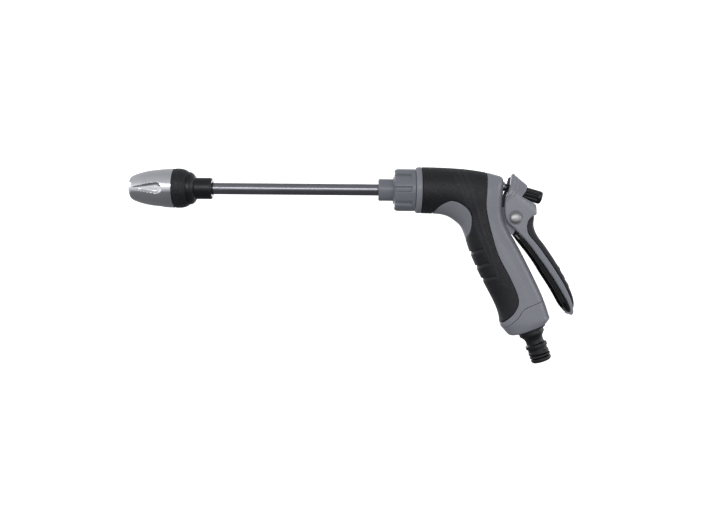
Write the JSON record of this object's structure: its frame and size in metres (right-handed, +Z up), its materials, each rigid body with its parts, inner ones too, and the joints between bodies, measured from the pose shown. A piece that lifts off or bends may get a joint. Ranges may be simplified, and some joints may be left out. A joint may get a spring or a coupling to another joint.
{
  "type": "watering wand",
  "caption": "Rear-lever hose gun with a two-tone grip, a straight steel lance on a union nut, a twist nozzle and a push-fit hose inlet.",
  "frame": {"origin": "middle of the hand grip, on the plane of symmetry, at the height where the fingers close", "axes": "+X along the lance from the nozzle to the back of the gun, +Y to the far side, +Z up with the lance above the grip"},
  "size_m": [0.3533, 0.0364, 0.1561],
  "materials": {
    "grey_plastic": "semi-gloss moulded",
    "nut_plastic": "satin moulded",
    "soft_rubber": "fine leather grain",
    "black_plastic": "satin moulded",
    "seal_rubber": "smooth",
    "chrome": "polished plate",
    "tube_steel": "drawn and polished",
    "rivet_metal": "satin",
    "brass": "machined",
    "nylon": "moulded"
  },
  "bodies": {
    "gun_body": {"body_shell": "grey_plastic", "grip_overmould": "soft_rubber", "end_cap": "grey_plastic", "inlet_spigot": "black_plastic", "spigot_oring": "seal_rubber", "inlet_washer": "seal_rubber", "valve_seat": "brass", "valve_spring": "tube_steel", "gland_seal": "seal_rubber", "gland_nut": "tube_steel", "lance_bush": "nut_plastic", "lance_face_seal": "seal_rubber", "lance_tube": "tube_steel", "tube_rear_seal": "seal_rubber", "tube_front_seal": "seal_rubber", "nozzle_barrel": "black_plastic", "spray_spindle": "brass"},
    "lever": {"lever_frame": "grey_plastic", "lever_back_pad": "soft_rubber", "lever_front_channel": "black_plastic", "pivot_rivet": "rivet_metal"},
    "stem": {"valve_stem": "tube_steel", "valve_washer": "seal_rubber", "washer_screw": "brass"},
    "knob_slider": {"knob_thrust_washer": "nylon"},
    "knob": {"adjuster_knob": "black_plastic"},
    "nozzle_slider": {"sleeve_seal": "seal_rubber"},
    "nozzle_sleeve": {"chrome_sleeve": "chrome", "sleeve_grip_ring": "soft_rubber"},
    "nut_slider": {"slip_washer": "nylon"},
    "union_nut": {"lance_nut": "nut_plastic"}
  },
  "joints": [
    {"name": "lever_squeeze", "type": "hinge", "parent": "gun_body", "child": "lever", "pos_m": [0.0087, 0, 0.0369], "axis": [0, 1, 0], "range_deg": [0, 5], "stiffness_Nm_per_rad": 1.5, "springref_deg": -6.88},
    {"name": "valve_travel", "type": "slide", "parent": "gun_body", "child": "stem", "axis": [0.9613, 0, -0.2756], "range_m": [0, 0.0024], "deforming": ["valve_spring"]},
    {"name": "knob_advance", "type": "slide", "parent": "stem", "child": "knob_slider", "axis": [0.9613, 0, -0.2756], "range_m": [0, 0.002]},
    {"name": "knob_turn", "type": "hinge", "parent": "knob_slider", "child": "knob", "pos_m": [0.0023, 0, 0.062], "axis": [0.9613, 0, -0.2756], "range_deg": [0, 720]},
    {"name": "nozzle_advance", "type": "slide", "parent": "gun_body", "child": "nozzle_slider", "axis": [-1, 0, 0], "range_m": [0, 0.003]},
    {"name": "nozzle_twist", "type": "hinge", "parent": "nozzle_slider", "child": "nozzle_sleeve", "pos_m": [-0.28, 0, 0.0592], "axis": [-1, 0, 0], "range_deg": [0, 360]},
    {"name": "nut_travel", "type": "slide", "parent": "gun_body", "child": "nut_slider", "axis": [-1, 0, 0], "range_m": [0, 0.0054]},
    {"name": "nut_turn", "type": "hinge", "parent": "nut_slider", "child": "union_nut", "pos_m": [-0.078, 0, 0.0592], "axis": [-1, 0, 0], "range_deg": [0, 1080]}
  ],
  "couplings": [
    {"joint": "valve_travel", "follows": "lever_squeeze", "m_per_rad": 0.025},
    {"joint": "knob_turn", "follows": "knob_advance", "rad_per_m": 6283},
    {"joint": "nozzle_twist", "follows": "nozzle_advance", "rad_per_m": 2094},
    {"joint": "nut_turn", "follows": "nut_travel", "rad_per_m": 3490}
  ]
}
